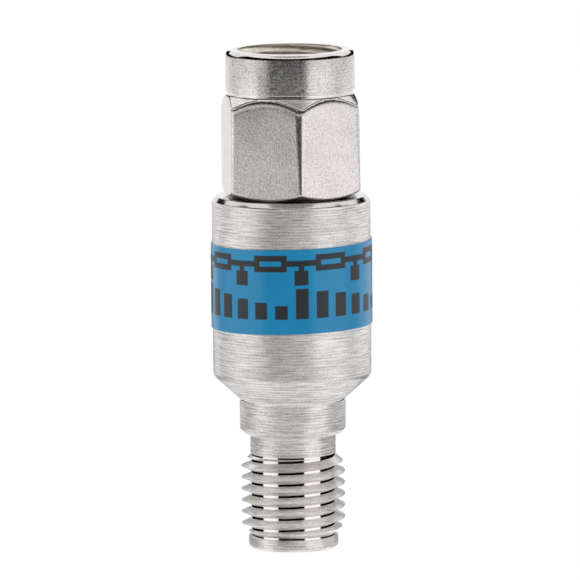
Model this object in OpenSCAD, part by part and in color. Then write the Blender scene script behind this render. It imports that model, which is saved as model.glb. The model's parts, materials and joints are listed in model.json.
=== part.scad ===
// Fixed coaxial attenuator, male to female. A turned barrel carries a threaded female end below
// and a captive coupling nut above. Inside, a film chip in a split carrier joins the two centre
// contacts, and a flanged ferrule closes the barrel and clamps the stack.
// Millimetres, +Z up along the line, origin at the centre of the female end's face.

/* [Barrel] */
// Diameter of the barrel
barrel_d = 9.7; // [8.8:0.1:14]
// Length of the straight part of the barrel
barrel_len = 11.05; // [10:0.05:20]
// Chamfer on the barrel's top edge
barrel_chamfer = 0.28; // [0.05:0.01:0.5]
// Length of the cone between the barrel and the shoulder
taper_len = 1.45; // [0.8:0.05:4]
// Diameter of the shoulder under the cone
shoulder_d = 6.5; // [6.2:0.05:8.6]
// Length of the shoulder
shoulder_len = 2.15; // [1:0.05:5]
// Chamfer on the shoulder's lower edge
shoulder_chamfer = 0.3; // [0.05:0.05:0.5]

/* [Female end] */
// Major diameter of the coupling thread
thread_d = 6.35; // [6.1:0.01:7]
// Pitch of the coupling thread
thread_pitch = 0.7056; // [0.5:0.0001:1]
// Length of the threaded part
thread_len = 5.02; // [2:0.01:10]
// Depth of the thread's root, which the relief groove behind it also has
relief_depth = 0.55; // [0.2:0.01:0.7]
// Length of the relief groove
relief_len = 1.35; // [0.5:0.01:5]
// Length of the plain pilot in front of the thread
pilot_len = 0.68; // [0.4:0.01:2]
// Wall of the pilot around the mouth
pilot_wall = 0.45; // [0.3:0.01:0.6]
// Depth of the mouth, down to the reference plane
mouth_depth = 1.9; // [1.2:0.01:2.5]
// Small chamfer on the end's edges
edge_chamfer = 0.1; // [0.02:0.01:0.2]

/* [Line] */
// Diameter of the dielectric beads
dielectric_d = 4.1; // [3.8:0.01:4.4]
// Diameter of the centre conductor
conductor_d = 1.27; // [1.1:0.01:1.6]
// Width of the flange that stands out around a bead
flange_step = 0.43; // [0.2:0.01:0.5]
// Thickness of a bead's flange
flange_len = 1.5; // [0.8:0.05:3]
// Width of the collar that keeps a contact from being pulled through its bead
collar_step = 0.36; // [0.15:0.01:0.6]
// Thickness of a contact's collar
collar_t = 0.6; // [0.3:0.05:0.75]

/* [Contacts] */
// Diameter of the male pin
pin_d = 0.92; // [0.8:0.01:1]
// Reach of the male pin past the reference plane
pin_reach = 2; // [1.5:0.05:2.4]
// Length of the cone on the male pin's tip
pin_tip_len = 0.3; // [0.1:0.05:0.6]
// Flat left on the male pin's tip
pin_tip_d = 0.4; // [0.2:0.05:0.6]
// Diameter of the socket
socket_d = 0.94; // [0.82:0.01:1]
// Depth of the socket
socket_depth = 2.7; // [2.4:0.05:4]
// Recess of the socket's lip behind the reference plane
socket_recess = 0.05; // [0:0.01:0.2]
// Width of the slots that make the socket's four leaves
leaf_slot = 0.15; // [0.05:0.01:0.2]
// Length of those slots
leaf_len = 2.3; // [1:0.05:2.35]
// Length that the slotted tails reach over the chip
grip_len = 1; // [0.4:0.05:1.6]

/* [Chip and carrier] */
// Width of the film chip
chip_w = 5.2; // [4:0.05:5.6]
// Height of the film chip
chip_h = 5.1; // [3.5:0.05:9]
// Thickness of the film chip
chip_t = 0.4; // [0.25:0.01:0.6]
// Carrier's length past each end of the chip
chip_end_room = 0.8; // [0.5:0.05:2]
// Diameter of the chamber that holds the carrier
chamber_d = 6.2; // [6.1:0.05:7]
// Diameter of the channel through the carrier
channel_d = 3; // [2.6:0.05:3.6]
// Height of the chamber's floor above the foot of the cone
floor_rise = 1; // [0.6:0.05:2]

/* [Ferrule] */
// Step from the chamber out to the ferrule's plug
plug_step = 0.5; // [0.2:0.05:0.8]
// Diameter of the neck that the nut turns on
neck_d = 5.9; // [5.7:0.05:6.1]
// Length of the neck
neck_len = 2.9; // [2.6:0.05:3.2]
// Wall of the thin tube at the ferrule's front
tube_wall = 0.2; // [0.12:0.01:0.3]
// Play between the tube and the mouth that it enters
mouth_play = 0.03; // [0.01:0.01:0.06]

/* [Coupling nut] */
// Hexagon across flats
hex_af = 7.94; // [7.7:0.01:10]
// Length of the hexagon
hex_len = 6.17; // [5.4:0.01:9]
// Turn of the hexagon's first corner from +X, in degrees
hex_turn = 38; // [0:0.1:60]
// Length of the round collar in front of the hexagon
nose_len = 2.71; // [2:0.01:4]
// Depth of the collar below the hexagon's flats
nose_step = 0.02; // [0.02:0.01:0.3]
// Radius on the collar's outer rim
nose_round = 0.36; // [0.1:0.01:0.5]
// Depth of the undercut at the collar's foot
undercut = 0.08; // [0.02:0.01:0.2]
// Length of that undercut
undercut_len = 0.25; // [0.2:0.01:0.6]
// Axial length of the chamfer in front of the hexagon
front_chamfer = 0.73; // [0.3:0.01:1.5]
// Axial length of the chamfer behind the hexagon
rear_chamfer = 0.4; // [0.1:0.05:0.8]
// Width of the countersink at the nut's mouth
countersink = 0.4; // [0.1:0.01:0.5]
// Gap between the nut and the barrel's top
nut_gap = 0.08; // [0.05:0.01:0.3]
// Reach of the nut past the reference plane
nut_overhang = 3.06; // [2.6:0.01:3.4]

/* [Retaining ring] */
// Thickness of the ring along the line
ring_t = 0.55; // [0.3:0.01:0.7]
// Width of the ring's split
ring_split = 1.2; // [0.4:0.05:3]
// Depth of the ring's groove in the neck
neck_groove = 0.42; // [0.2:0.01:0.5]
// Depth of the ring's groove in the nut
nut_groove = 0.45; // [0.2:0.01:0.5]
// Height of the nut's groove above its rear face
groove_rise = 0.9; // [0.5:0.01:1.1]
// Free axial travel of the nut and the ring along the neck
end_play = 0.3; // [0.1:0.01:0.4]

/* [Label band] */
// Height of the film band
label_h = 5.17; // [2:0.01:7]
// Thickness of the film
label_t = 0.08; // [0.04:0.01:0.3]
// Height of the band's middle above the barrel's middle
label_rise = 0.165; // [-1:0.005:1]
// Lean of the band, as it was wrapped by hand, in degrees
label_lean = 1.3; // [0:0.1:2]
// Width of the seam where the film's ends meet
label_seam = 0.25; // [0.1:0.05:1]

/* [Fits] */
// Radial clearance of a pressed piece
press_gap = 0.015; // [0.01:0.005:0.03]
// Radial clearance of the turning nut
run_gap = 0.05; // [0.03:0.01:0.1]
// Clearance on each side of the ring in its grooves
ring_slack = 0.025; // [0.02:0.005:0.05]
// Clearance around the chip in the carrier and the tails
chip_slack = 0.01; // [0.005:0.005:0.03]

/* [Hidden] */
$fn = 96;
past = 1;

STEEL = [0.78, 0.77, 0.75];
GOLD = [0.86, 0.67, 0.3];
BRASS = [0.8, 0.66, 0.4];
WHITE = [0.94, 0.94, 0.92];
CERAMIC = [0.9, 0.88, 0.82];
BLUE = [0.12, 0.5, 0.72];

// Heights of the turned outside, from the female face up
thread_z = pilot_len;
relief_z = thread_z + thread_len;
shoulder_z = relief_z + relief_len;
taper_z = shoulder_z + shoulder_len;
straight_z = taper_z + taper_len;
barrel_top = straight_z + barrel_len;

// Heights of the stack inside: beads, carrier, chip and contacts
floor_z = taper_z + floor_rise;
female_seat_z = floor_z - flange_len;
carrier_len = chip_h + 2 * chip_end_room;
carrier_top = floor_z + carrier_len;
male_seat_z = carrier_top + flange_len;
chip_z = floor_z + chip_end_room;
chip_top = chip_z + chip_h;
socket_lip = mouth_depth + socket_recess;

// Heights of the male end
nut_z = barrel_top + nut_gap;
nose_z = nut_z + hex_len;
nut_top = nose_z + nose_len;
male_plane = nut_top - nut_overhang;
neck_top = barrel_top + neck_len;
nut_groove_z = nut_z + groove_rise;
ring_z = nut_groove_z + ring_slack;
nut_groove_h = ring_t + 2 * ring_slack;
neck_groove_z = ring_z - ring_slack;
neck_groove_h = ring_t + end_play + 2 * ring_slack;

// Radii that the pieces share
bead_r = dielectric_d / 2;
bead_bore = bead_r + press_gap;
flange_r = bead_r + flange_step;
flange_bore = flange_r + press_gap;
conductor_r = conductor_d / 2;
conductor_bore = conductor_r + press_gap;
collar_r = conductor_r + collar_step;
collar_bore = collar_r + press_gap;
chamber_r = chamber_d / 2;
plug_bore = chamber_r + plug_step;
tube_r = bead_bore + tube_wall;
mouth_r = tube_r + mouth_play;
pilot_r = mouth_r + pilot_wall;
thread_r = thread_d / 2;
relief_r = thread_r - relief_depth;
shoulder_r = shoulder_d / 2;
barrel_r = barrel_d / 2;
neck_r = neck_d / 2;
nut_bore = neck_r + run_gap;
neck_groove_r = neck_r - neck_groove;
nut_groove_r = nut_bore + nut_groove;
ring_inner = neck_groove_r + run_gap;
ring_outer = nut_groove_r - run_gap;

// Bore at the crests of the nut's internal thread, five eighths of the sharp thread's height in
thread_depth = 5 / 8 * sqrt(3) / 2 * thread_pitch;
nut_minor_r = thread_r - thread_depth;
hex_corner_r = hex_af / sqrt(3);
nose_r = hex_af / 2 - nose_step;
foot_r = nose_r - undercut;

// Points of an arc from one angle to another, for rounding a profile's corner
function arc(centre, r, from, to, steps = 6) =
  [for (i = [0:steps]) let (a = from + (to - from) * i / steps) centre + r * [cos(a), sin(a)]];

// Ring around the axis between two radii and two heights
module sleeve(inner, outer, low, high) {
  rotate_extrude()
    translate([inner, low])
      square([outer - inner, high - low]);
}

// One turned piece: pilot, thread, relief, shoulder, cone and straight barrel, bored from both ends
module barrel() {
  outside = [
    [mouth_r + edge_chamfer, 0],
    [pilot_r - edge_chamfer, 0],
    [pilot_r, edge_chamfer],
    [pilot_r, thread_z],
    [relief_r, thread_z],
    [thread_r, thread_z + relief_depth],
    [thread_r, relief_z - relief_depth],
    [relief_r, relief_z],
    [relief_r, shoulder_z],
    [shoulder_r - shoulder_chamfer, shoulder_z],
    [shoulder_r, shoulder_z + shoulder_chamfer],
    [shoulder_r, taper_z],
    [barrel_r, straight_z],
    [barrel_r, barrel_top - barrel_chamfer],
    [barrel_r - barrel_chamfer, barrel_top]];
  inside = [
    [plug_bore, barrel_top],
    [plug_bore, carrier_top],
    [chamber_r, carrier_top],
    [chamber_r, floor_z],
    [flange_bore, floor_z],
    [flange_bore, female_seat_z],
    [bead_bore, female_seat_z],
    [bead_bore, mouth_depth],
    [mouth_r, mouth_depth],
    [mouth_r, edge_chamfer]];
  color(STEEL)
    rotate_extrude()
      polygon(concat(outside, inside));
}

// Bead with its flange on the chip's side, which also takes the contact's collar
module bead(plane, seat, back) {
  up = sign(back - plane);
  rotate_extrude()
    polygon([
      [conductor_bore, plane],
      [bead_r, plane],
      [bead_r, seat],
      [flange_r, seat],
      [flange_r, back],
      [collar_bore, back],
      [collar_bore, back - up * collar_t],
      [conductor_bore, back - up * collar_t]]);
}

module female_dielectric() {
  color(WHITE)
    bead(mouth_depth, female_seat_z, floor_z);
}

module male_dielectric() {
  color(WHITE)
    bead(male_plane, male_seat_z, carrier_top);
}

// Slot across a contact's tail that takes the chip's edge
module tail_slot(low, high) {
  wide = chip_t + 2 * chip_slack;
  translate([-conductor_r - past, -wide / 2, low])
    cube([conductor_d + 2 * past, wide, high - low]);
}

// Socket with four spring leaves, a collar in its bead and a tail over the chip's lower edge
module female_contact() {
  tail = chip_z + grip_len;
  color(GOLD)
    difference() {
      rotate_extrude()
        polygon([
          [0, socket_lip],
          [conductor_r, socket_lip],
          [conductor_r, floor_z - collar_t],
          [collar_r, floor_z - collar_t],
          [collar_r, floor_z],
          [conductor_r, floor_z],
          [conductor_r, tail],
          [0, tail]]);
      translate([0, 0, socket_lip - past])
        cylinder(d = socket_d, h = socket_depth + past);
      for (turn = [45, 135])
        rotate([0, 0, turn])
          translate([-conductor_r - past, -leaf_slot / 2, socket_lip - past])
            cube([conductor_d + 2 * past, leaf_slot, leaf_len + past]);
      tail_slot(chip_z - chip_slack, tail + past);
    }
}

// Pin with a coned tip, a collar in its bead and a tail over the chip's upper edge
module male_pin() {
  tail = chip_top - grip_len;
  tip = male_plane + pin_reach;
  color(GOLD)
    difference() {
      rotate_extrude()
        polygon([
          [0, tail],
          [conductor_r, tail],
          [conductor_r, carrier_top],
          [collar_r, carrier_top],
          [collar_r, carrier_top + collar_t],
          [conductor_r, carrier_top + collar_t],
          [conductor_r, male_plane],
          [pin_d / 2, male_plane],
          [pin_d / 2, tip - pin_tip_len],
          [pin_tip_d / 2, tip],
          [0, tip]]);
      tail_slot(tail - past, chip_top + chip_slack);
    }
}

// Half of the split carrier: a half cylinder with half the channel and half the chip's pocket
module carrier_half() {
  pocket_w = chip_w + 2 * chip_slack;
  pocket_t = chip_t + 2 * chip_slack;
  difference() {
    sleeve(channel_d / 2, chamber_r - press_gap, floor_z, carrier_top);
    translate([-chamber_d, 0, floor_z - past])
      cube([2 * chamber_d, chamber_d, carrier_len + 2 * past]);
    translate([-pocket_w / 2, -pocket_t / 2, chip_z])
      cube([pocket_w, pocket_t, chip_h + chip_slack]);
  }
}

module carrier_front() {
  color(BRASS)
    carrier_half();
}

module carrier_rear() {
  color(BRASS)
    rotate([0, 0, 180])
      carrier_half();
}

module resistor_chip() {
  color(CERAMIC)
    translate([-chip_w / 2, -chip_t / 2, chip_z])
      cube([chip_w, chip_t, chip_h]);
}

// Outer conductor of the male end: plug in the barrel, grooved neck for the nut, thin front tube
module male_ferrule() {
  plug_r = plug_bore - press_gap;
  color(STEEL)
    difference() {
      rotate_extrude()
        polygon([
          [flange_bore, carrier_top],
          [plug_r, carrier_top],
          [plug_r, barrel_top],
          [neck_r, barrel_top],
          [neck_r, neck_top - edge_chamfer],
          [neck_r - edge_chamfer, neck_top],
          [tube_r, neck_top],
          [tube_r, male_plane],
          [bead_bore, male_plane],
          [bead_bore, male_seat_z],
          [flange_bore, male_seat_z]]);
      sleeve(neck_groove_r, neck_r + past, neck_groove_z, neck_groove_z + neck_groove_h);
    }
}

// Flat split ring that lies half in the neck's groove and half in the nut's
module retaining_ring() {
  color(STEEL)
    difference() {
      sleeve(ring_inner, ring_outer, ring_z, ring_z + ring_t);
      translate([-ring_split / 2, 0, ring_z - past])
        cube([ring_split, ring_outer + past, ring_t + 2 * past]);
    }
}

// Hexagon nut with a round nose: a turned outline trims the hexagon, and the bore has the ring's groove
module coupling_nut() {
  corner_past = 0.2;
  blank_r = hex_corner_r + corner_past;
  rear_spread = (blank_r - nose_r) / (hex_corner_r - nose_r);
  front_spread = (blank_r - foot_r) / (hex_corner_r - foot_r);
  thread_z_low = neck_top + run_gap;
  groove_top = nut_groove_z + nut_groove_h;
  outline = concat(
    [[0, nut_z],
     [nose_r, nut_z],
     [blank_r, nut_z + rear_spread * rear_chamfer],
     [blank_r, nose_z - front_spread * front_chamfer],
     [foot_r, nose_z],
     [foot_r, nose_z + undercut_len - undercut],
     [nose_r, nose_z + undercut_len]],
    arc([nose_r - nose_round, nut_top - nose_round], nose_round, 0, 90),
    [[0, nut_top]]);
  bore = [
    [0, nut_z - past],
    [nut_bore, nut_z - past],
    [nut_bore, nut_groove_z],
    [nut_groove_r, nut_groove_z],
    [nut_groove_r, groove_top],
    [nut_bore, groove_top],
    [nut_bore, thread_z_low],
    [nut_minor_r, thread_z_low],
    [nut_minor_r, nut_top - countersink],
    [nut_minor_r + countersink, nut_top],
    [nut_minor_r + countersink, nut_top + past],
    [0, nut_top + past]];
  color(STEEL)
    difference() {
      intersection() {
        translate([0, 0, nut_z])
          rotate([0, 0, hex_turn])
            cylinder(r = hex_corner_r, h = nut_top - nut_z, $fn = 6);
        rotate_extrude()
          polygon(outline);
      }
      rotate_extrude()
        polygon(bore);
    }
}

// Blue film wrapped once round the barrel, with a fine seam at the back
module label_band() {
  inner = barrel_r + press_gap;
  outer = inner + label_t;
  middle_z = straight_z + barrel_len / 2 + label_rise;
  color(BLUE)
    difference() {
      intersection() {
        sleeve(inner, outer, straight_z, barrel_top - barrel_chamfer);
        translate([0, 0, middle_z])
          rotate([0, -label_lean, 0])
            cube([3 * outer, 3 * outer, label_h], center = true);
      }
      translate([-label_seam / 2, 0, straight_z])
        cube([label_seam, outer + past, barrel_len]);
    }
}

barrel();
female_dielectric();
female_contact();
carrier_front();
carrier_rear();
resistor_chip();
male_dielectric();
male_pin();
male_ferrule();
retaining_ring();
coupling_nut();
label_band();
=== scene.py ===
# Fixed coaxial attenuator, male to female, standing on its female end.
# The barrel with its rolled thread, the coupling nut and the film band are modelled here and stand
# for their solids. The beads, contacts, ferrule, ring, chip and carriers keep the frame's own shapes.

import json
import math

import bmesh
import bpy
from mathutils import Matrix, Vector


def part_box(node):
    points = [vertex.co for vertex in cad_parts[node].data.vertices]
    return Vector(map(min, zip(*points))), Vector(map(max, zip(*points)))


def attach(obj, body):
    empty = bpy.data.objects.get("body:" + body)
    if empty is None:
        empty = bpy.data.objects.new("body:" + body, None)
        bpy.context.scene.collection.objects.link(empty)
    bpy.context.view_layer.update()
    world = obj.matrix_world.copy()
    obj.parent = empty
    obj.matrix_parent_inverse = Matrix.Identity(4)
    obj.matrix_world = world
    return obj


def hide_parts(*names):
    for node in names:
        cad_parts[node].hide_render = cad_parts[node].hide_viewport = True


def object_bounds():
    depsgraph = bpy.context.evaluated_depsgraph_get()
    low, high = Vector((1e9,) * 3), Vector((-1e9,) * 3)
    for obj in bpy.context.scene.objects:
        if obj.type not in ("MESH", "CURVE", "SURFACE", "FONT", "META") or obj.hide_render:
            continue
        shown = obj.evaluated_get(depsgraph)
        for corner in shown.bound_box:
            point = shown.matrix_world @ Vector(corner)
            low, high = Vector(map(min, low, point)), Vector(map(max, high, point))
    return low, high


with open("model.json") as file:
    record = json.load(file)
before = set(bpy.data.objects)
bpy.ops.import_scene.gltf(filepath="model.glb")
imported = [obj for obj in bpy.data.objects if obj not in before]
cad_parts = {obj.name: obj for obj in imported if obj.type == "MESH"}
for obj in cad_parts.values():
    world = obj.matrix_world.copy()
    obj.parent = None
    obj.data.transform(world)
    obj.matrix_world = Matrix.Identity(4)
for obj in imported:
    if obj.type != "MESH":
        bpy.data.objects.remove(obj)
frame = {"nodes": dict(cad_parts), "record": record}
cad_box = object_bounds()

MM = 0.001
mounts = {mount["name"]: mount["dims"] for mount in frame["record"]["mounts"]}
barrel_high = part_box("barrel")[1]
nut_low, nut_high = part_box("coupling_nut")
film_low, film_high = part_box("label_band")

# Sizes are in millimetres, and heights are measured up from the female face.

# Barrel: straight part, cone and shoulder
BARREL_R = barrel_high.x / MM
BARREL_TOP = barrel_high.z / MM
BARREL_CHAMFER = 0.28
STRAIGHT_Z = 10.65
TAPER_Z = 9.2
SHOULDER_R = 3.25
SHOULDER_Z = 7.05
SHOULDER_CHAMFER = 0.3
# Bores of the barrel: bead, flange, chamber and plug, each with the height of its upper end
BARREL_BORES = [(2.065, 8.7), (2.495, 10.2), (3.1, 16.9), (3.6, BARREL_TOP)]
# Rounds of its corners
BROKEN_EDGE = 0.04
PILOT_FOOT_ROUND = 0.06
PILOT_TOP_ROUND = 0.03
FILLET = 0.08
SHOULDER_ROUND = 0.1
CONE_ROUND = 0.25

# Barrel: relief, thread, pilot and mouth of the female end
RELIEF_Z = 5.8
RELIEF_R = 2.625
RELIEF_STEP = 0.02
THREAD_Z = 0.68
CREST_R = mounts["female_thread"]["r_mm"]
ROOT_R = 2.59
PITCH = 0.7056
FLANK_SLOPE = math.tan(math.radians(25))
# Half the height of the flat at the thread's root
ROOT_HALF = 0.07
# Rise over which the flanks flare out to a crest
CREST_FLARE = 0.035
# Height of a crest on the thread's left side, which sets where its turns fall
CREST_LEFT_Z = 3.6
# Where the groove starts above the pilot and ends below the relief
THREAD_LEAD = 0.12
THREAD_TAIL = 0.06
# Bright band between the thread's upper chamfer and the relief
RUN_OUT = 0.1
RUN_OUT_RISE = 0.015
RUN_OUT_R = ROOT_R + RUN_OUT_RISE
RUN_OUT_CHAMFER = 0.5
PILOT_R = 2.745
MOUTH_R = mounts["female_mouth"]["r_mm"]
MOUTH_DEPTH = 1.9
MOUTH_EDGE = 0.1

# Coupling nut: hexagon
NUT_Z = nut_low.z / MM
NUT_TOP = nut_high.z / MM
HEX_AF = 7.94
HEX_TURN = 38
HEX_CORNER_R = HEX_AF / math.sqrt(3)
FRONT_CHAMFER = 0.73
REAR_CHAMFER = 0.4
# What the round blank has to spare outside the hexagon's corners
BLANK_SPARE = 0.1
# Reach over which the hexagon's corners are eased, more at the front end and on the side that is most worn
CORNER_EASE = 0.03
FRONT_CORNER_EASE = 0.42
REAR_EASE = 0.08
WORN_SIDE = 307
# Drop of the flats towards their upper ends, its reach and the height from which it starts below the chamfer
FLAT_ROLL = 0.08
FLAT_ROLL_REACH = 0.6
FLAT_ROLL_HEIGHT = 0.3
# Rows of points up the hexagon: a band below the chamfer, then close rows there and wide ones on the flats
ROLL_BAND = 0.4
CLOSE_ROW = 0.04
WIDE_ROW = 0.5
FLATS_MIN = 2
SHORTEST_SPLIT = 0.2

# Coupling nut: bore, ring groove and internal thread
NUT_BORE = 3
RING_GROOVE_R = 3.45
RING_GROOVE = (22.68, 23.28)
NUT_THREAD_Z = 24.65
NUT_THREAD_LEAD = 0.25
NUT_MINOR_R = mounts["nut_thread"]["r_mm"]
NUT_CLEARANCE = 0.03
NUT_MAJOR_R = CREST_R + NUT_CLEARANCE
NUT_ROOT_HALF = 0.04
NUT_FLANK_SLOPE = math.tan(math.radians(28))

# Coupling nut: collar, which is undercut a little at its foot, and rim
NOSE_R = 3.95
NOSE_Z = 27.95
NOSE_ROUND = 0.36
UNDERCUT = 0.08
UNDERCUT_LEN = 0.25
FOOT_R = NOSE_R - UNDERCUT
FOOT_ROUND = 0.06
COUNTERSINK = 0.4
COUNTERSINK_R = NUT_MINOR_R + COUNTERSINK
LIP = 0.05

# Film band
FILM_R = film_high.x / MM
FILM_T = 0.08
FILM_H = 5.17
FILM_MIDDLE_Z = (film_low.z + film_high.z) / 2 / MM
FILM_LEAN = math.radians(1.3)
FILM_SEAM = 0.25
FILM_LENGTH = 2 * math.pi * FILM_R - FILM_SEAM
# Print on the film: thickness and how deep it sinks in, its strokes, and its two rows about their middle
INK_T = 0.012
INK_SUNK = 0.01
INK_LINE = 0.34
INK_ROW = 1.84
INK_ROW_GAP = 0.22
INK_MIDDLE = 0.3
INK_REPEATS = 4
# Upper row, a resistor ladder: half a resistor's height, its ends, and the place and size of a shunt block
RESISTOR_HALF = 0.5
RESISTOR_START = 1.5
RESISTOR_END = 0.3
SHUNT_AT = 0.6
SHUNT_HALF = 0.42
SHUNT_DROP = 0.45
# Lower row, level bars: their count in a repeat, margin and width as shares of a step, and fall as a share
# of the row's height
BARS = 6
BAR_MARGIN = 0.2
BAR_WIDTH = 0.6
BAR_FALL = 0.11

# Steps round the line, and segments of a rounded corner
TURN_STEPS = 192
HEX_STEPS = 360
FILM_STEPS = 180
CARD_STEPS = 24
BARREL_ROUNDING = 5
NUT_ROUNDING = 8
# How far a cutter reaches past the surface that it cuts, and the slack of a test of place
CUT_PAST = 0.2
BORE_CUT_PAST = 0.1
HAIR = 0.01
# Where a finish changes: slope of a face that leans and of one that faces up, half height of the band that is
# painted at a corner, share of the rim's round that is polished, and how far the thread's finish runs past it
LEANING = 0.05
FACING_UP = 0.5
CORNER_BAND = 0.05
RIM_SHARE = 0.9
FINISH_PAST = 0.1
# Distances at which points are one: after a cut, between the print's repeats and in slicing its sheet
CARVED_MERGE = 1e-4
REPEAT_MERGE = 1e-3
SLICE_SNAP = 1e-5
# Edges sharper than this, in degrees, stay crisp
CRISP = 35
NUT_CRISP = 50

# Camera, from the photograph's framing: 580 pixels across, 16.34 of them to the millimetre
CAMERA_DISTANCE = 500
CAMERA_ELEVATION = 7.7
CAMERA_LENS = 507
CAMERA_SENSOR = 36
CAMERA_CLIP = (0.01, 10)
CAMERA_ROLL = -0.46
LOOK_AT = (-0.107, 0, 15.83)

# Studio: brightness of the surroundings as light and as seen, then half the floor's width in metres, the
# brightness of its own glow and how much of it the camera sees
AMBIENT = 0.92
SEEN_WHITE = 1
FLOOR_HALF = 2
FLOOR_GLOW = 1.05
FLOOR_GLOW_SHARE = 0.85
# Soft boxes as (bearing, width in metres, power in watts), with their common distance and height in metres
SOFT_BOXES = [(-69, 0.19, 0.02), (56, 0.26, 0.026)]
SOFT_BOX_DISTANCE = 0.31
SOFT_BOX_HEIGHT = 0.16
# Cards that only reflections see: brightness, bearings (from, to) in degrees with 0 towards the camera, and
# the two ends of the line that sweeps between them as (radius, height)
CARDS = [
    # Far off: in front, high on the left, low at both sides and overhead
    (0, (-42, 30), (300, -54), (300, 60)),
    (0, (-65, -20), (300, 95), (300, 330)),
    (0.35, (-130, -108), (300, -54), (300, -12)),
    (0.35, (84, 108), (300, -54), (300, -12)),
    (0.3, (-180, 180), (1, 330), (100, 330)),
    # Close: above the rim, on both sides behind it, beside the hexagon, behind the thread and at its sides
    (0, (-105, 105), (30, 33.5), (30, 60)),
    (0, (-165, -105), (30, 30.5), (30, 39)),
    (0, (105, 165), (30, 30.5), (30, 39)),
    (0, (-58, -41), (30, 24.4), (30, 28)),
    (0.4, (145, 215), (30, 4), (30, 17)),
    (0, (-155, -87), (30, -4.25), (30, 1.9)),
    (0, (76, 160), (30, -4.25), (30, 1.9))]


def mesh_object(mesh, name, body, node, crisp=CRISP):
    """Scales a bmesh from millimetres, makes it a smooth-shaded piece and stands it for a node."""
    bmesh.ops.scale(mesh, vec=(MM, MM, MM), verts=mesh.verts[:])
    data = bpy.data.meshes.new(name)
    mesh.to_mesh(data)
    mesh.free()
    data.polygons.foreach_set("use_smooth", [True] * len(data.polygons))
    data.set_sharp_from_angle(angle=math.radians(crisp))
    piece = bpy.data.objects.new(name, data)
    bpy.context.scene.collection.objects.link(piece)
    even = piece.modifiers.new("even_shading", "WEIGHTED_NORMAL")
    even.keep_sharp = True
    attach(piece, body)
    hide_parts(node)
    return piece


def stage_object(mesh, name, material):
    """Makes a bmesh in metres an object of the studio."""
    data = bpy.data.meshes.new(name)
    mesh.to_mesh(data)
    mesh.free()
    data.materials.append(material)
    made = bpy.data.objects.new(name, data)
    bpy.context.scene.collection.objects.link(made)
    return made


def whole(mesh):
    """All of a bmesh, for operators that take their geometry as one list."""
    return mesh.verts[:] + mesh.edges[:] + mesh.faces[:]


def loop(outline, rounding):
    """A closed loop of edges through (radius, height) points. A third value rounds that corner."""
    mesh = bmesh.new()
    corners = [mesh.verts.new((point[0], 0, point[1])) for point in outline]
    mesh.faces.new(corners)
    for corner, point in zip(corners, outline):
        if len(point) > 2:
            bmesh.ops.bevel(mesh, geom=[corner], offset=point[2], affect="VERTICES", segments=rounding,
                            profile=0.5, material=-1)
    bmesh.ops.delete(mesh, geom=mesh.faces[:], context="FACES_ONLY")
    return mesh


def spun(mesh, steps):
    """Turns a loop of edges round the line into a closed solid."""
    bmesh.ops.spin(mesh, geom=mesh.verts[:] + mesh.edges[:], cent=(0, 0, 0), axis=(0, 0, 1),
                   angle=2 * math.pi, steps=steps, use_merge=True)
    bmesh.ops.recalc_face_normals(mesh, faces=mesh.faces[:])
    return mesh


def helix(half_section, low_z, high_z, pass_z, pass_angle, blank_steps):
    """Winds a closed section along the thread's pitch, right-handed, from about low_z to high_z.

    half_section has the (radius, height) points of its upper half. The section is at the height pass_z where
    it comes by pass_angle, and its columns lie halfway between those of the blank that it cuts."""
    blank_step = 2 * math.pi / blank_steps
    low_angle = pass_angle + 2 * math.pi * (low_z - pass_z) / PITCH
    low_angle = (math.floor(low_angle / blank_step) + 0.5) * blank_step
    step = 2 * blank_step
    step_rise = PITCH * step / (2 * math.pi)
    steps = round((high_z - low_z) / step_rise)
    section = half_section + [(r, -z) for r, z in reversed(half_section)]
    mesh = bmesh.new()
    mesh.faces.new([mesh.verts.new((r, 0, z)) for r, z in section])
    start = Matrix.Rotation(low_angle, 4, "Z")
    start.translation.z = pass_z + PITCH * (low_angle - pass_angle) / (2 * math.pi)
    bmesh.ops.transform(mesh, matrix=start, verts=mesh.verts[:])
    bmesh.ops.spin(mesh, geom=whole(mesh), cent=(0, 0, 0), axis=(0, 0, 1), dvec=(0, 0, step_rise),
                   angle=step * steps, steps=steps)
    bmesh.ops.recalc_face_normals(mesh, faces=mesh.faces[:])
    return mesh


def carved(mesh, cutter):
    """Cuts one closed bmesh out of another."""
    pair = []
    for source in (mesh, cutter):
        data = bpy.data.meshes.new("carving")
        source.to_mesh(data)
        source.free()
        pair.append(bpy.data.objects.new("carving", data))
        bpy.context.scene.collection.objects.link(pair[-1])
    blank, tool = pair
    cut = blank.modifiers.new("cut", "BOOLEAN")
    cut.object = tool
    cut.operation = "DIFFERENCE"
    cut.solver = "MANIFOLD"
    graph = bpy.context.evaluated_depsgraph_get()
    result = bpy.data.meshes.new_from_object(blank.evaluated_get(graph))
    mesh = bmesh.new()
    mesh.from_mesh(result)
    for used in pair:
        bpy.data.objects.remove(used)
    # The cut can leave points that all but meet, and points on an edge that only two faces share
    bmesh.ops.remove_doubles(mesh, verts=mesh.verts[:], dist=CARVED_MERGE)
    bmesh.ops.dissolve_verts(mesh, verts=[vertex for vertex in mesh.verts if len(vertex.link_edges) == 2])
    return mesh


def paint(mesh, material_index, test):
    """Gives the faces that pass a test of radius, height and upward slope a material of their own."""
    for face in mesh.faces:
        middle = face.calc_center_median()
        if test(math.hypot(middle.x, middle.y), middle.z, face.normal.z):
            face.material_index = material_index


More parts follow.
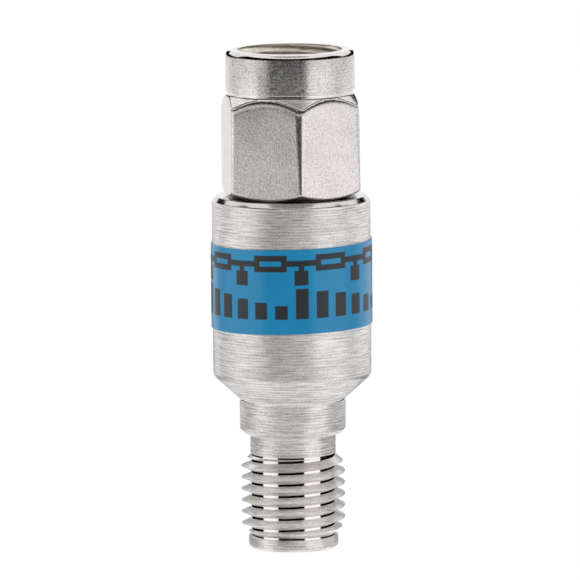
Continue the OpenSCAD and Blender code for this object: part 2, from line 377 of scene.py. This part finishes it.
def barrel():
    """One turned piece with a V thread rolled into its female end; its thread roots are bright."""
    depth = CREST_R - ROOT_R
    outside = [
        (MOUTH_R + MOUTH_EDGE, 0),
        (PILOT_R - MOUTH_EDGE, 0),
        (PILOT_R, MOUTH_EDGE, PILOT_FOOT_ROUND),
        (PILOT_R, THREAD_Z, PILOT_TOP_ROUND),
        (ROOT_R, THREAD_Z),
        (ROOT_R, THREAD_Z + 2 * ROOT_HALF),
        (CREST_R, THREAD_Z + 2 * ROOT_HALF + depth),
        (CREST_R, RELIEF_Z - RUN_OUT - RUN_OUT_CHAMFER),
        (RUN_OUT_R, RELIEF_Z - RUN_OUT),
        (RUN_OUT_R, RELIEF_Z),
        (RELIEF_R, RELIEF_Z + RELIEF_STEP),
        (RELIEF_R, SHOULDER_Z, FILLET),
        (SHOULDER_R - SHOULDER_CHAMFER, SHOULDER_Z, BROKEN_EDGE),
        (SHOULDER_R, SHOULDER_Z + SHOULDER_CHAMFER, SHOULDER_ROUND),
        (SHOULDER_R, TAPER_Z, FILLET),
        (BARREL_R, STRAIGHT_Z, CONE_ROUND),
        (BARREL_R, BARREL_TOP - BARREL_CHAMFER, BROKEN_EDGE),
        (BARREL_R - BARREL_CHAMFER, BARREL_TOP, BROKEN_EDGE)]
    floor_z = MOUTH_DEPTH
    bores = [(MOUTH_R, MOUTH_EDGE), (MOUTH_R, floor_z)]
    for radius, top in BARREL_BORES:
        bores += [(radius, floor_z), (radius, top)]
        floor_z = top
    crest_gap = ROOT_HALF + depth * FLANK_SLOPE + CREST_FLARE
    half_groove = [
        (ROOT_R, ROOT_HALF),
        (CREST_R - CREST_FLARE, ROOT_HALF + (depth - CREST_FLARE) * FLANK_SLOPE),
        (CREST_R + HAIR, crest_gap),
        (CREST_R + CUT_PAST, crest_gap)]
    groove = helix(half_groove, THREAD_Z + THREAD_LEAD, RELIEF_Z - THREAD_TAIL, CREST_LEFT_Z + PITCH / 2,
                   math.pi, TURN_STEPS)
    mesh = carved(spun(loop(outside + bores[::-1], BARREL_ROUNDING), TURN_STEPS), groove)
    mesh.normal_update()
    outer_r = MOUTH_R + MOUTH_EDGE
    root_r = ROOT_R + 2 * RUN_OUT_RISE
    chamfer_z = BARREL_TOP - BARREL_CHAMFER - BROKEN_EDGE / 2
    shoulder_r = SHOULDER_R - SHOULDER_CHAMFER - CORNER_BAND
    flanks, roots, edges = 1, 2, 3
    # The thread's flanks get the steel whose colour is painted lighter against the shade in the grooves
    paint(mesh, flanks, lambda r, z, up: THREAD_Z + HAIR < z < RELIEF_Z and outer_r < r)
    paint(mesh, roots, lambda r, z, up: THREAD_Z - HAIR < z < RELIEF_Z and outer_r < r < root_r)
    paint(mesh, edges, lambda r, z, up: z > chamfer_z and up > LEANING)
    paint(mesh, edges, lambda r, z, up: abs(z - TAPER_Z) < CORNER_BAND and up < -LEANING)
    paint(mesh, edges, lambda r, z, up: abs(z - SHOULDER_Z) < CORNER_BAND and r > shoulder_r)
    return mesh


def soft_min(a, b, reach):
    """The smaller of two radii, eased over reach where they cross."""
    near = max(reach - abs(a - b), 0) / reach
    return min(a, b) - near * near * reach / 4


def trim_to_hexagon(mesh, rear_z, front_z, slope):
    """Pulls a round blank in to six flats, eased at the corners and rolled over towards the front chamfer."""
    for vertex in mesh.verts:
        radius = math.hypot(vertex.co.x, vertex.co.y)
        if radius <= NOSE_R or vertex.co.z > NOSE_Z:
            continue
        angle = math.degrees(math.atan2(vertex.co.y, vertex.co.x))
        off_flat = math.radians((angle - HEX_TURN) % 60 - 30)
        near_flat = HEX_AF / 2 / math.cos(off_flat)
        next_flat = HEX_AF / 2 / math.cos(math.pi / 3 - abs(off_flat))
        along = min(max((vertex.co.z - rear_z) / (front_z - rear_z), 0), 1)
        worn = along * (1 + math.cos(math.radians(angle - WORN_SIDE))) / 2
        flats = soft_min(near_flat, next_flat, CORNER_EASE + worn * (FRONT_CORNER_EASE - CORNER_EASE))
        if vertex.co.z >= front_z - FLAT_ROLL_HEIGHT:
            at_blank = radius + max(front_z - vertex.co.z, 0) / slope
            inset = max(1 - max(at_blank - flats, 0) / FLAT_ROLL_REACH, 0)
            trimmed = min(radius, flats - FLAT_ROLL * inset ** 3) / radius
        else:
            trimmed = soft_min(radius, flats, REAR_EASE) / radius
        vertex.co.x *= trimmed
        vertex.co.y *= trimmed


def coupling_nut():
    """A turned blank, threaded inside and then trimmed to the hexagon with eased edges."""
    slope = FRONT_CHAMFER / (HEX_CORNER_R - FOOT_R)
    blank_r = HEX_CORNER_R + BLANK_SPARE
    front_z = NOSE_Z - slope * (blank_r - FOOT_R)
    rear_z = NUT_Z + REAR_CHAMFER * (blank_r - NOSE_R) / (HEX_CORNER_R - NOSE_R)
    outline = [
        (NUT_BORE, NUT_Z),
        (NOSE_R, NUT_Z),
        (blank_r, rear_z),
        (blank_r, front_z - ROLL_BAND),
        (blank_r, front_z),
        (FOOT_R, NOSE_Z, FOOT_ROUND),
        (FOOT_R, NOSE_Z + UNDERCUT_LEN - UNDERCUT / 2),
        (NOSE_R, NOSE_Z + UNDERCUT_LEN),
        (NOSE_R, NUT_TOP, NOSE_ROUND),
        (COUNTERSINK_R, NUT_TOP),
        (COUNTERSINK_R, NUT_TOP - LIP),
        (NUT_MINOR_R, NUT_TOP - LIP - COUNTERSINK),
        (NUT_MINOR_R, NUT_THREAD_Z),
        (NUT_BORE, NUT_THREAD_Z),
        (NUT_BORE, RING_GROOVE[1]),
        (RING_GROOVE_R, RING_GROOVE[1]),
        (RING_GROOVE_R, RING_GROOVE[0]),
        (NUT_BORE, RING_GROOVE[0])]
    blank = loop(outline, NUT_ROUNDING)
    # The two chamfers get close rows, so that the hexagon's scallops come out smooth
    for edge in blank.edges[:]:
        low, high = sorted(vertex.co.z for vertex in edge.verts)
        outside = min(vertex.co.x for vertex in edge.verts) > FOOT_R - HAIR
        if outside and high - low > SHORTEST_SPLIT and high < NOSE_Z:
            spacing = CLOSE_ROW if high - low < FLATS_MIN else WIDE_ROW
            bmesh.ops.subdivide_edges(blank, edges=[edge], cuts=round((high - low) / spacing))
    crest_gap = NUT_ROOT_HALF + (NUT_MAJOR_R - NUT_MINOR_R) * NUT_FLANK_SLOPE
    half_groove = [
        (NUT_MAJOR_R, NUT_ROOT_HALF),
        (NUT_MINOR_R, crest_gap),
        (NUT_MINOR_R - BORE_CUT_PAST, crest_gap)]
    groove = helix(half_groove, NUT_THREAD_Z + NUT_THREAD_LEAD, NUT_TOP + PITCH, NUT_TOP, math.pi, HEX_STEPS)
    mesh = carved(spun(blank, HEX_STEPS), groove)
    trim_to_hexagon(mesh, rear_z, front_z, slope)
    mesh.normal_update()
    collar_z = NOSE_Z + UNDERCUT_LEN
    rim_z = NUT_TOP - RIM_SHARE * NOSE_ROUND
    inner_r = COUNTERSINK_R + 2 * HAIR
    thread_foot_z = NUT_THREAD_Z - FINISH_PAST
    collar, rim, inside, front = 1, 2, 3, 4
    paint(mesh, front, lambda r, z, up: r > FOOT_R - HAIR and up > FACING_UP)
    paint(mesh, front, lambda r, z, up: r > COUNTERSINK_R and NOSE_Z < z < collar_z)
    paint(mesh, collar, lambda r, z, up: z > collar_z - HAIR)
    paint(mesh, rim, lambda r, z, up: z > rim_z)
    # The inside of the nut gets the steel whose colour is painted lighter and warmer for its own reflected
    # light
    paint(mesh, inside, lambda r, z, up: r < inner_r and thread_foot_z < z < NUT_TOP - HAIR)
    return mesh


def wrapped(mesh, inner_r):
    """Wraps a flat sheet round the barrel: X runs round from the seam at the back, Y up and Z outwards."""
    for vertex in mesh.verts:
        place, height, out = vertex.co
        angle = (place + FILM_SEAM / 2) / FILM_R + math.pi / 2
        x = (inner_r + out) * math.cos(angle)
        y = (inner_r + out) * math.sin(angle)
        vertex.co = (x, y, FILM_MIDDLE_Z + height + x * math.tan(FILM_LEAN))
    return mesh


def strip(length, steps):
    """A flat strip of the film's height that starts at zero and is split into steps along its length."""
    mesh = bmesh.new()
    bmesh.ops.create_grid(mesh, x_segments=steps, y_segments=1, size=0.5)
    bmesh.ops.scale(mesh, vec=(length, FILM_H, 1), verts=mesh.verts[:])
    bmesh.ops.translate(mesh, vec=(length / 2, 0, 0), verts=mesh.verts[:])
    return mesh


def thick_sheet(mesh, thickness):
    """Gives a flat sheet its thickness, with its underside at zero."""
    bmesh.ops.solidify(mesh, geom=mesh.faces[:], thickness=thickness)
    under = min(vertex.co.z for vertex in mesh.verts)
    bmesh.ops.translate(mesh, vec=(0, 0, -under), verts=mesh.verts[:])
    bmesh.ops.recalc_face_normals(mesh, faces=mesh.faces[:])
    return mesh


def film_band():
    """The blue film, a strip wrapped round the barrel to a fine seam at the back."""
    return wrapped(thick_sheet(strip(FILM_LENGTH, FILM_STEPS), FILM_T - INK_T), FILM_R - FILM_T)


def ink_marks(period):
    """Rectangles (left, right, low, high) of one repeat: a resistor ladder over falling level bars."""
    low = INK_MIDDLE + INK_ROW_GAP / 2
    rail = low + INK_ROW - RESISTOR_HALF
    half = INK_LINE / 2
    marks = []
    for left in (0, period / 2):
        right = left + period / 2
        start = left + RESISTOR_START
        end = right - RESISTOR_END
        shunt = left + SHUNT_AT
        bottom = rail - RESISTOR_HALF
        top = rail + RESISTOR_HALF
        # The resistor's four sides
        marks.append((start, end, bottom, bottom + INK_LINE))
        marks.append((start, end, top - INK_LINE, top))
        marks.append((start, start + INK_LINE, bottom, top))
        marks.append((end - INK_LINE, end, bottom, top))
        # The rail on both sides of it, then the shunt's stem and block
        marks.append((left, start, rail - half, rail + half))
        marks.append((end, right, rail - half, rail + half))
        marks.append((shunt - half, shunt + half, bottom, rail))
        marks.append((shunt - SHUNT_HALF, shunt + SHUNT_HALF, low, rail - SHUNT_DROP))
    step = period / BARS
    top = INK_MIDDLE - INK_ROW_GAP / 2
    for bar in range(BARS):
        left = (bar + BAR_MARGIN) * step
        marks.append((left, left + BAR_WIDTH * step, top - INK_ROW, top - INK_ROW * BAR_FALL * bar))
    return marks


def ink_print():
    """One repeat of the print cut out of a sheet, copied round the band and laid on the film."""
    period = FILM_LENGTH / INK_REPEATS
    marks = ink_marks(period)
    mesh = strip(period, FILM_STEPS // INK_REPEATS)
    cuts = {((round(edge, 4), 0, 0), (1, 0, 0)) for mark in marks for edge in mark[:2] if 0 < edge < period}
    cuts |= {((0, round(edge, 4), 0), (0, 1, 0)) for mark in marks for edge in mark[2:]}
    for place, across in sorted(cuts):
        bmesh.ops.bisect_plane(mesh, geom=whole(mesh), dist=SLICE_SNAP, plane_co=place, plane_no=across)
    bare = []
    for face in mesh.faces:
        middle = face.calc_center_median()
        if not any(left < middle.x < right and low < middle.y < high for left, right, low, high in marks):
            bare.append(face)
    bmesh.ops.delete(mesh, geom=bare, context="FACES")
    first = whole(mesh)
    for repeat in range(1, INK_REPEATS):
        copy = bmesh.ops.duplicate(mesh, geom=first)["geom"]
        moved = [part for part in copy if isinstance(part, bmesh.types.BMVert)]
        bmesh.ops.translate(mesh, vec=(repeat * period, 0, 0), verts=moved)
    bmesh.ops.remove_doubles(mesh, verts=mesh.verts[:], dist=REPEAT_MERGE)
    return wrapped(thick_sheet(mesh, INK_T + INK_SUNK), FILM_R - INK_T - INK_SUNK)


def linear(hex_colour):
    """sRGB hex to the linear colour that shader sockets take."""
    parts = [int(hex_colour[i:i + 2], 16) / 255 for i in (1, 3, 5)]
    return (*(p / 12.92 if p <= 0.04045 else ((p + 0.055) / 1.055) ** 2.4 for p in parts), 1)


def add(tree, kind, inputs=None, **settings):
    """Adds a node. An input is a plain value or another node's output socket."""
    made = tree.nodes.new(kind)
    for name, value in settings.items():
        setattr(made, name, value)
    for name, value in (inputs or {}).items():
        if isinstance(value, bpy.types.NodeSocket):
            tree.links.new(value, made.inputs[name])
        else:
            made.inputs[name].default_value = value
    return made


def new_material(name):
    """A material with an empty node tree."""
    material = bpy.data.materials.new(name)
    material.use_nodes = True
    material.node_tree.nodes.clear()
    return material, material.node_tree


def tinted(tree, colour, contrast, pattern, low, high):
    """A colour that a pattern darkens at its low values and lightens, half as much, at its high ones."""
    shade = add(tree, "ShaderNodeMapRange", {"Value": pattern, "From Min": low, "From Max": high})
    dark = tuple((1 - contrast) * part for part in linear(colour)[:3]) + (1,)
    light = tuple(min((1 + contrast / 2) * part, 1) for part in linear(colour)[:3]) + (1,)
    mix = add(tree, "ShaderNodeMix", {"Factor": shade.outputs[0], "A": dark, "B": light}, data_type="RGBA")
    return mix.outputs["Result"]


def lathe_metal(name, colour, feed_mm, fleck_mm, depth_mm, rough, along, contrast=0.2, grit_share=0.28):
    """Metal off the lathe: feed lines round the piece, broken up by flecks and grit.

    feed_mm is the lines' spacing, fleck_mm a fleck's length, depth_mm the depth of both, along how far a
    highlight is drawn out along the piece, and grit_share how much of the pattern is grit."""
    material, tree = new_material(name)
    place = add(tree, "ShaderNodeTexCoord").outputs["Object"]
    feed = add(tree, "ShaderNodeTexWave",
               {"Vector": place, "Scale": math.pi / (10 * feed_mm * MM), "Distortion": 1.0, "Detail": 2,
                "Detail Scale": 0.25}, wave_type="BANDS", bands_direction="Z")
    stretch = (1 / (fleck_mm * MM), 1 / (fleck_mm * MM), 3 / (feed_mm * MM))
    flecks_at = add(tree, "ShaderNodeMapping", {"Vector": place, "Scale": stretch})
    flecks = add(tree, "ShaderNodeTexNoise", {"Vector": flecks_at.outputs[0], "Scale": 1, "Detail": 2})
    cut = add(tree, "ShaderNodeMix", {"Factor": 0.88, "A": feed.outputs["Fac"], "B": flecks.outputs[0]})
    grit = add(tree, "ShaderNodeTexNoise", {"Vector": place, "Scale": 1 / (0.11 * MM), "Detail": 1})
    mixed = add(tree, "ShaderNodeMix", {"Factor": grit_share, "A": cut.outputs[0], "B": grit.outputs[0]})
    lines = mixed.outputs[0]
    cloud = add(tree, "ShaderNodeTexNoise", {"Vector": place, "Scale": 1 / (2 * MM), "Detail": 3})
    tone = add(tree, "ShaderNodeMix", {"Factor": 0.15, "A": lines, "B": cloud.outputs[0]})
    colours = tinted(tree, colour, contrast, tone.outputs[0], 0.36, 0.62)
    roughness = add(tree, "ShaderNodeMapRange",
                    {"Value": lines, "From Min": 0.3, "From Max": 0.7, "To Min": 0.8 * rough,
                     "To Max": 1.2 * rough})
    bump = add(tree, "ShaderNodeBump", {"Height": lines, "Distance": depth_mm * MM, "Strength": 1})
    round_about = add(tree, "ShaderNodeTangent", direction_type="RADIAL", axis="Z")
    shader = add(tree, "ShaderNodeBsdfPrincipled",
                 {"Base Color": colours, "Metallic": 1, "Roughness": roughness.outputs[0],
                  "Anisotropic": along, "Anisotropic Rotation": 0.25, "Tangent": round_about.outputs[0],
                  "Normal": bump.outputs[0]})
    add(tree, "ShaderNodeOutputMaterial", {"Surface": shader.outputs[0]})
    return material


def grained_metal(name, colour, grain_mm, depth_mm, rough, contrast=0.1):
    """Tumbled or burnished metal: an even satin with a fine grain that has no direction."""
    material, tree = new_material(name)
    place = add(tree, "ShaderNodeTexCoord").outputs["Object"]
    grain = add(tree, "ShaderNodeTexNoise",
                {"Vector": place, "Scale": 1 / (grain_mm * MM), "Detail": 2, "Roughness": 0.6}).outputs[0]
    cloud = add(tree, "ShaderNodeTexNoise", {"Vector": place, "Scale": 1 / (1.5 * MM), "Detail": 3})
    tone = add(tree, "ShaderNodeMix", {"Factor": 0.2, "A": grain, "B": cloud.outputs[0]})
    colours = tinted(tree, colour, contrast, tone.outputs[0], 0.35, 0.65)
    roughness = add(tree, "ShaderNodeMapRange",
                    {"Value": grain, "From Min": 0.3, "From Max": 0.7, "To Min": 0.9 * rough,
                     "To Max": 1.1 * rough})
    bump = add(tree, "ShaderNodeBump", {"Height": grain, "Distance": depth_mm * MM, "Strength": 1})
    shader = add(tree, "ShaderNodeBsdfPrincipled",
                 {"Base Color": colours, "Metallic": 1, "Roughness": roughness.outputs[0],
                  "Normal": bump.outputs[0]})
    add(tree, "ShaderNodeOutputMaterial", {"Surface": shader.outputs[0]})
    return material


def blue_film():
    """Glossy vinyl film: saturated blue, with an even gloss and the faint ripple of a hand-wrapped strip."""
    material, tree = new_material("glossy_blue_vinyl")
    place = add(tree, "ShaderNodeTexCoord").outputs["Object"]
    cloud = add(tree, "ShaderNodeTexNoise", {"Vector": place, "Scale": 1 / (2.5 * MM), "Detail": 3})
    shade = add(tree, "ShaderNodeMapRange", {"Value": cloud.outputs[0], "From Min": 0.3, "From Max": 0.7})
    colours = add(tree, "ShaderNodeMix",
                  {"Factor": shade.outputs[0], "A": linear("#0880B0"), "B": linear("#0E86B8")},
                  data_type="RGBA")
    bump = add(tree, "ShaderNodeBump", {"Height": cloud.outputs[0], "Distance": 0.01 * MM, "Strength": 1})
    shader = add(tree, "ShaderNodeBsdfPrincipled",
                 {"Base Color": colours.outputs["Result"], "Roughness": 0.25, "IOR": 1.5,
                  "Normal": bump.outputs[0]})
    add(tree, "ShaderNodeOutputMaterial", {"Surface": shader.outputs[0]})
    return material


def printed_ink():
    """Screen-printed charcoal ink: nearly black, a little duller than the film and faintly mottled."""
    material, tree = new_material("charcoal_print_ink")
    place = add(tree, "ShaderNodeTexCoord").outputs["Object"]
    mottle = add(tree, "ShaderNodeTexNoise", {"Vector": place, "Scale": 1 / (0.4 * MM), "Detail": 2})
    colours = add(tree, "ShaderNodeMix",
                  {"Factor": mottle.outputs[0], "A": linear("#131A20"), "B": linear("#20282E")},
                  data_type="RGBA")
    shader = add(tree, "ShaderNodeBsdfPrincipled",
                 {"Base Color": colours.outputs["Result"], "Roughness": 0.4, "IOR": 1.5})
    add(tree, "ShaderNodeOutputMaterial", {"Surface": shader.outputs[0]})
    return material


def fluoropolymer():
    """Machined white fluoropolymer: waxy, with faint tool rings."""
    material, tree = new_material("white_fluoropolymer")
    place = add(tree, "ShaderNodeTexCoord").outputs["Object"]
    rings_at = add(tree, "ShaderNodeMapping", {"Vector": place, "Scale": (1 / MM, 1 / MM, 1 / (0.12 * MM))})
    rings = add(tree, "ShaderNodeTexNoise", {"Vector": rings_at.outputs[0], "Scale": 1, "Detail": 2})
    colours = add(tree, "ShaderNodeMix",
                  {"Factor": rings.outputs[0], "A": linear("#EDECE6"), "B": linear("#F6F5F0")},
                  data_type="RGBA")
    bump = add(tree, "ShaderNodeBump", {"Height": rings.outputs[0], "Distance": 0.003 * MM, "Strength": 1})
    shader = add(tree, "ShaderNodeBsdfPrincipled",
                 {"Base Color": colours.outputs["Result"], "Roughness": 0.45, "IOR": 1.35,
                  "Normal": bump.outputs[0]})
    add(tree, "ShaderNodeOutputMaterial", {"Surface": shader.outputs[0]})
    return material


def alumina():
    """Fired alumina with a resistive film: pale, matt and finely grained."""
    material, tree = new_material("fired_alumina")
    place = add(tree, "ShaderNodeTexCoord").outputs["Object"]
    grain = add(tree, "ShaderNodeTexNoise", {"Vector": place, "Scale": 1 / (0.1 * MM), "Detail": 3})
    colours = add(tree, "ShaderNodeMix",
                  {"Factor": grain.outputs[0], "A": linear("#DCD7CA"), "B": linear("#F1EDE3")},
                  data_type="RGBA")
    shader = add(tree, "ShaderNodeBsdfPrincipled",
                 {"Base Color": colours.outputs["Result"], "Roughness": 0.55, "IOR": 1.7})
    add(tree, "ShaderNodeOutputMaterial", {"Surface": shader.outputs[0]})
    return material


# Turned stainless steel: broken feed lines round the piece, and highlights drawn out along it
steel = lathe_metal("turned_stainless_steel", "#E4E0DE", feed_mm=0.18, fleck_mm=1.2, depth_mm=0.0015,
                    rough=0.42, along=0.5, contrast=0.46)
# Cut thread flanks: a slightly warm satin, speckled by the tool; its colour is painted lighter than the
# barrel's steel to lift the shade in the grooves
flank_steel_painted_light = lathe_metal("cut_thread_steel", "#F4EFEB", feed_mm=0.12, fleck_mm=0.6, depth_mm=0.003,
                          rough=0.33, along=0.3, contrast=0.3, grit_share=0.5)
# Internal thread: duller, and painted lighter and warmer than the nut's steel to stand for the light that it
# reflects back on itself inside the nut
inner_steel_painted_light = lathe_metal("nut_thread_steel", "#F4E8DC", feed_mm=0.2, fleck_mm=0.6, depth_mm=0.004,
                          rough=0.42, along=0.3, contrast=0.4)
# Thread roots burnished by the roll: near mirrors that flash black and white
root_steel = lathe_metal("burnished_thread_root", "#EAE6E4", feed_mm=0.3, fleck_mm=3, depth_mm=0.0001,
                         rough=0.05, along=0, contrast=0.1)
# Finely turned collar: mottled, with a soft dark reflection of what stands in front
collar_steel = lathe_metal("fine_turned_collar", "#DEDAD8", feed_mm=0.2, fleck_mm=0.4, depth_mm=0.01,
                           rough=0.28, along=0.3, contrast=0.4, grit_share=0.6)
# Front chamfer of the hexagon: brighter and smoother than the flats
front_steel = lathe_metal("turned_front_chamfer", "#EAE5E3", feed_mm=0.15, fleck_mm=0.6, depth_mm=0.0015,
                          rough=0.22, along=0.2, contrast=0.3)
# Burnished edges of the barrel: narrow bright glints
chamfer_steel = grained_metal("burnished_barrel_edge", "#DAD6D4", grain_mm=0.25, depth_mm=0.004, rough=0.14)
# Polished rim: a clear white ring with a dark outer edge
rim_steel = grained_metal("polished_nut_rim", "#E2DEDC", grain_mm=0.4, depth_mm=0.002, rough=0.12)
# Tumbled flats: an even satin with a sandy grain
nut_steel = grained_metal("tumbled_nut_steel", "#DED9D7", grain_mm=0.09, depth_mm=0.006, rough=0.22,
                          contrast=0.3)
# Gold plate over a turned contact: deep yellow, with faint lines under the plate
gold = lathe_metal("gold_plate", "#E6BE6E", feed_mm=0.1, fleck_mm=1, depth_mm=0.0006, rough=0.2, along=0.3)
# Machined brass: paler yellow with plain tool lines
brass = lathe_metal("machined_brass", "#D8B878", feed_mm=0.12, fleck_mm=1, depth_mm=0.001, rough=0.3,
                    along=0.4)
# Bronze spring strip: a brown satin without lines
bronze = grained_metal("bronze_spring_strip", "#C69C6A", grain_mm=0.1, depth_mm=0.001, rough=0.3)
film = blue_film()
ink = printed_ink()
ptfe = fluoropolymer()
ceramic = alumina()

barrel_piece = mesh_object(barrel(), "turned_barrel", "line", "barrel")
nut_piece = mesh_object(coupling_nut(), "hexagon_nut", "nut", "coupling_nut", NUT_CRISP)
film_piece = mesh_object(film_band(), "blue_film_band", "line", "label_band")
print_piece = mesh_object(ink_print(), "charcoal_print", "line", "label_band")
finishes = {
    barrel_piece: [steel, flank_steel_painted_light, root_steel, chamfer_steel],
    nut_piece: [nut_steel, collar_steel, rim_steel, inner_steel_painted_light, front_steel],
    film_piece: [film],
    print_piece: [ink],
    frame["nodes"]["barrel"]: [steel],
    frame["nodes"]["coupling_nut"]: [nut_steel],
    frame["nodes"]["label_band"]: [film],
    frame["nodes"]["male_ferrule"]: [steel],
    frame["nodes"]["retaining_ring"]: [bronze],
    frame["nodes"]["male_pin"]: [gold],
    frame["nodes"]["female_contact"]: [gold],
    frame["nodes"]["carrier_front"]: [brass],
    frame["nodes"]["carrier_rear"]: [brass],
    frame["nodes"]["male_dielectric"]: [ptfe],
    frame["nodes"]["female_dielectric"]: [ptfe],
    frame["nodes"]["resistor_chip"]: [ceramic]}
for piece, materials in finishes.items():
    # Clearing resets painted faces too, so only meshes that come with a material are cleared
    if piece.data.materials:
        piece.data.materials.clear()
    for material in materials:
        piece.data.materials.append(material)


def surroundings():
    """An even white world, a touch brighter where it is seen than as light."""
    world = bpy.data.worlds.new("white_studio")
    bpy.context.scene.world = world
    world.use_nodes = True
    tree = world.node_tree
    tree.nodes.clear()
    path = add(tree, "ShaderNodeLightPath")
    seen = add(tree, "ShaderNodeMath", {0: path.outputs["Is Camera Ray"], 1: path.outputs["Is Glossy Ray"]},
               operation="MAXIMUM")
    shown = add(tree, "ShaderNodeMath", {0: seen.outputs[0], 1: path.outputs["Is Transmission Ray"]},
                operation="MAXIMUM")
    strength = add(tree, "ShaderNodeMapRange",
                   {"Value": shown.outputs[0], "To Min": AMBIENT, "To Max": SEEN_WHITE})
    sky = add(tree, "ShaderNodeBackground", {"Color": (1, 1, 1, 1), "Strength": strength.outputs[0]})
    add(tree, "ShaderNodeOutputWorld", {"Surface": sky.outputs[0]})


def floor():
    """White paper that stays white to the camera, keeps a faint shadow and can be seen through from below."""
    material, tree = new_material("white_paper")
    path = add(tree, "ShaderNodeLightPath")
    side = add(tree, "ShaderNodeNewGeometry")
    paper = add(tree, "ShaderNodeBsdfDiffuse", {"Color": linear("#F4F4F4")})
    glow = add(tree, "ShaderNodeEmission", {"Color": (1, 1, 1, 1), "Strength": FLOOR_GLOW})
    share = add(tree, "ShaderNodeMath", {0: path.outputs["Is Camera Ray"], 1: FLOOR_GLOW_SHARE},
                operation="MULTIPLY")
    lit = add(tree, "ShaderNodeMixShader", {"Fac": share.outputs[0], 1: paper.outputs[0], 2: glow.outputs[0]})
    clear = add(tree, "ShaderNodeBsdfTransparent")
    both = add(tree, "ShaderNodeMixShader",
               {"Fac": side.outputs["Backfacing"], 1: lit.outputs[0], 2: clear.outputs[0]})
    add(tree, "ShaderNodeOutputMaterial", {"Surface": both.outputs[0]})
    mesh = bmesh.new()
    bmesh.ops.create_grid(mesh, x_segments=1, y_segments=1, size=FLOOR_HALF)
    sheet = stage_object(mesh, "floor", material)
    sheet.visible_glossy = False


def cards():
    """Black and grey cards that only reflections see, each swept round the part."""
    for number, (brightness, (start, end), *ends) in enumerate(CARDS):
        material, tree = new_material(f"card_{number}")
        shade = add(tree, "ShaderNodeEmission", {"Color": (1, 1, 1, 1), "Strength": brightness})
        add(tree, "ShaderNodeOutputMaterial", {"Surface": shade.outputs[0]})
        mesh = bmesh.new()
        mesh.edges.new([mesh.verts.new((0, -radius * MM, height * MM)) for radius, height in ends])
        bmesh.ops.rotate(mesh, matrix=Matrix.Rotation(math.radians(start), 3, "Z"), verts=mesh.verts[:])
        bmesh.ops.spin(mesh, geom=mesh.verts[:] + mesh.edges[:], cent=(0, 0, 0), axis=(0, 0, 1),
                       angle=math.radians(end - start), steps=CARD_STEPS)
        card = stage_object(mesh, f"dark_panel_{number}", material)
        for rays in ("camera", "diffuse", "transmission", "volume_scatter", "shadow"):
            setattr(card, f"visible_{rays}", False)


def soft_boxes():
    """Two soft boxes at the sides, at the height of the part's middle."""
    middle_z = (cad_box[0][2] + cad_box[1][2]) / 2
    for number, (bearing, width, power) in enumerate(SOFT_BOXES):
        lamp = bpy.data.lights.new(f"soft_box_{number}", "AREA")
        lamp.shape = "RECTANGLE"
        lamp.size = width
        lamp.size_y = SOFT_BOX_HEIGHT
        lamp.energy = power
        box = bpy.data.objects.new(f"soft_box_{number}", lamp)
        way = Vector((math.sin(math.radians(bearing)), -math.cos(math.radians(bearing)), 0))
        box.location = way * SOFT_BOX_DISTANCE + Vector((0, 0, middle_z))
        box.rotation_euler = (-way).to_track_quat("-Z", "Y").to_euler()
        bpy.context.scene.collection.objects.link(box)


def photo_camera():
    """A long lens a little above the part, rolled by the photograph's slight lean."""
    lens = bpy.data.cameras.new("photo_camera")
    lens.lens = CAMERA_LENS
    lens.sensor_width = CAMERA_SENSOR
    lens.clip_start, lens.clip_end = CAMERA_CLIP
    camera = bpy.data.objects.new("photo_camera", lens)
    elevation = math.radians(CAMERA_ELEVATION)
    back = Vector((0, -math.cos(elevation), math.sin(elevation)))
    target = Vector(LOOK_AT) * MM
    camera.location = target + back * CAMERA_DISTANCE * MM
    aim = (-back).to_track_quat("-Z", "Y").to_matrix().to_4x4()
    roll = Matrix.Rotation(math.radians(CAMERA_ROLL), 4, "Z")
    camera.rotation_euler = (aim @ roll).to_euler()
    bpy.context.scene.collection.objects.link(camera)
    bpy.context.scene.camera = camera


bpy.context.scene.view_settings.view_transform = "Standard"
surroundings()
floor()
cards()
soft_boxes()
photo_camera()
